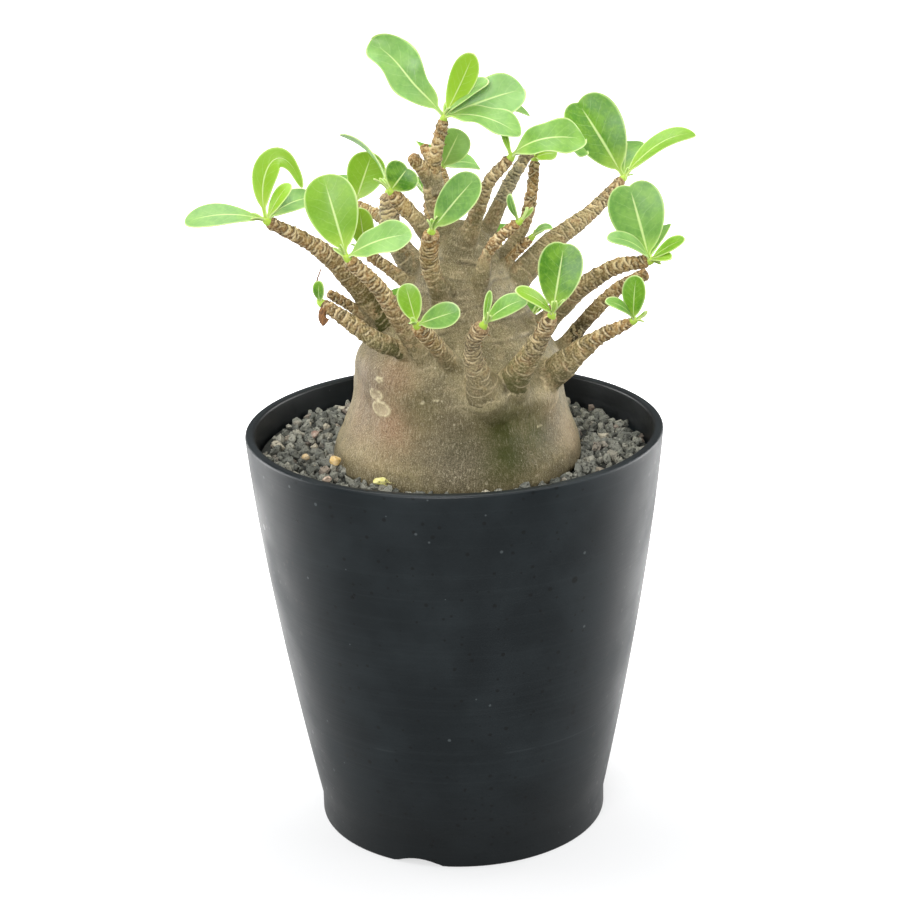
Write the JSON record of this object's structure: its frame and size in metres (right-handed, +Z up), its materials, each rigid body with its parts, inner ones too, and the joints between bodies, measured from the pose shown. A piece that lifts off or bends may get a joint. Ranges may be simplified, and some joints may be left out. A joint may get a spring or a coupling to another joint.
{
  "type": "potted desert rose plant",
  "caption": "Desert rose with a swollen caudex, ringed branches and obovate leaf clusters, standing in gravel in a tapered black nursery pot.",
  "frame": {"origin": "on the ground at the pot's axis, under the centre of the pot's foot", "axes": "+Z up along the pot's axis, -Y towards the viewer's side, +X to the viewer's right"},
  "size_m": [0.1782, 0.15, 0.2911],
  "materials": {
    "pot_plastic": "satin black moulded plastic",
    "gravel": "rough dark pumice",
    "pale_pumice": "rough tan and yellow pumice",
    "bark": "smooth grey-brown bark with ringed leaf scars",
    "leaf": "glossy bright green leaf with a pale midrib"
  },
  "bodies": {
    "root": {"pot": "pot_plastic", "soil": "gravel", "loose_stone_1": "pale_pumice", "loose_stone_2": "pale_pumice", "loose_stone_3": "pale_pumice", "loose_stone_4": "pale_pumice", "loose_stone_5": "pale_pumice", "caudex": "bark", "leaves_far_left": "leaf", "leaves_left_front": "leaf", "leaves_left_middle": "leaf", "leaves_left_back": "leaf", "leaves_neck_grey": "leaf", "leaves_neck_left": "leaf", "leaves_neck_front": "leaf", "leaves_leader": "leaf", "leaves_crown_back": "leaf", "leaves_upper_centre": "leaf", "leaves_upper_right": "leaf", "leaves_upper_back": "leaf", "leaves_inner_red": "leaf", "leaves_inner_thin": "leaf", "leaves_high_right": "leaf", "leaves_far_right": "leaf", "leaves_front_right": "leaf", "leaves_low_right": "leaf", "leaves_front_stub": "leaf", "leaves_front_left": "leaf", "leaves_low_left": "leaf", "leaves_back_left": "leaf", "leaves_back_centre": "leaf", "leaves_back_right": "leaf", "leaves_back_inner": "leaf", "leaves_back_upper": "leaf"}
  },
  "joints": []
}
